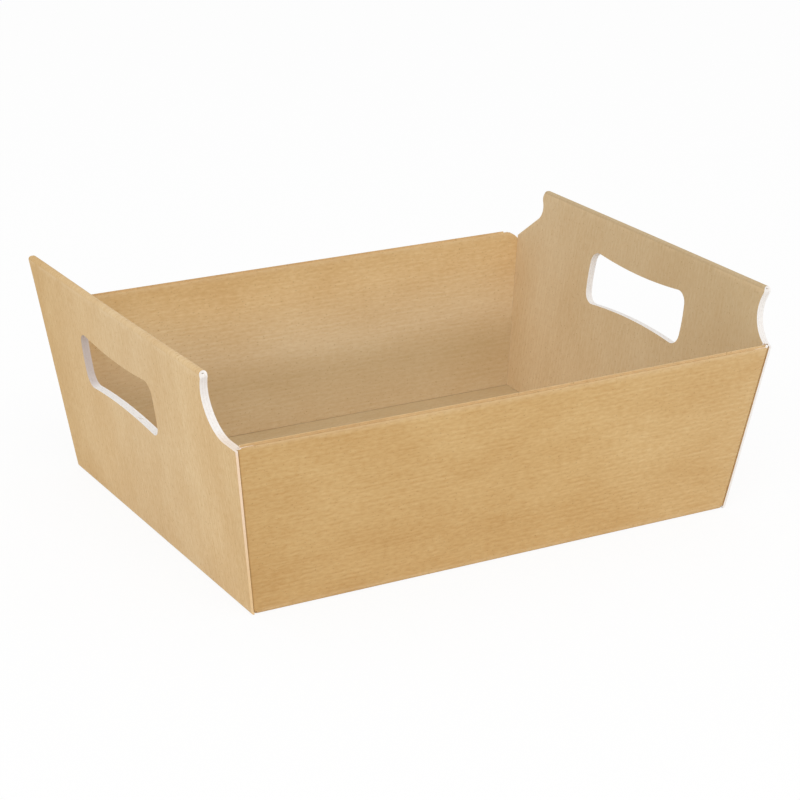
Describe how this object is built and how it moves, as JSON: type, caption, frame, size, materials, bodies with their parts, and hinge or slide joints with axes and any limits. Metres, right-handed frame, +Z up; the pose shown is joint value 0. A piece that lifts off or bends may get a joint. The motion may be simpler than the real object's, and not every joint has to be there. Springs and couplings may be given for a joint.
{
  "type": "cardboard gift basket",
  "caption": "Open kraft cardboard basket folded from one sheet, with leaning double walls, raised ends and a bow-tie hand hole in each end.",
  "frame": {"origin": "centre of the base's underside, on the surface the basket stands on", "axes": "+X along the long walls towards one handle end, +Y across the basket towards the back long wall, +Z up"},
  "size_m": [0.338, 0.2649, 0.131],
  "materials": {
    "kraft_board": "matte kraft liner, white cut edges"
  },
  "bodies": {
    "root": {"folded_basket": "kraft_board"}
  },
  "joints": []
}
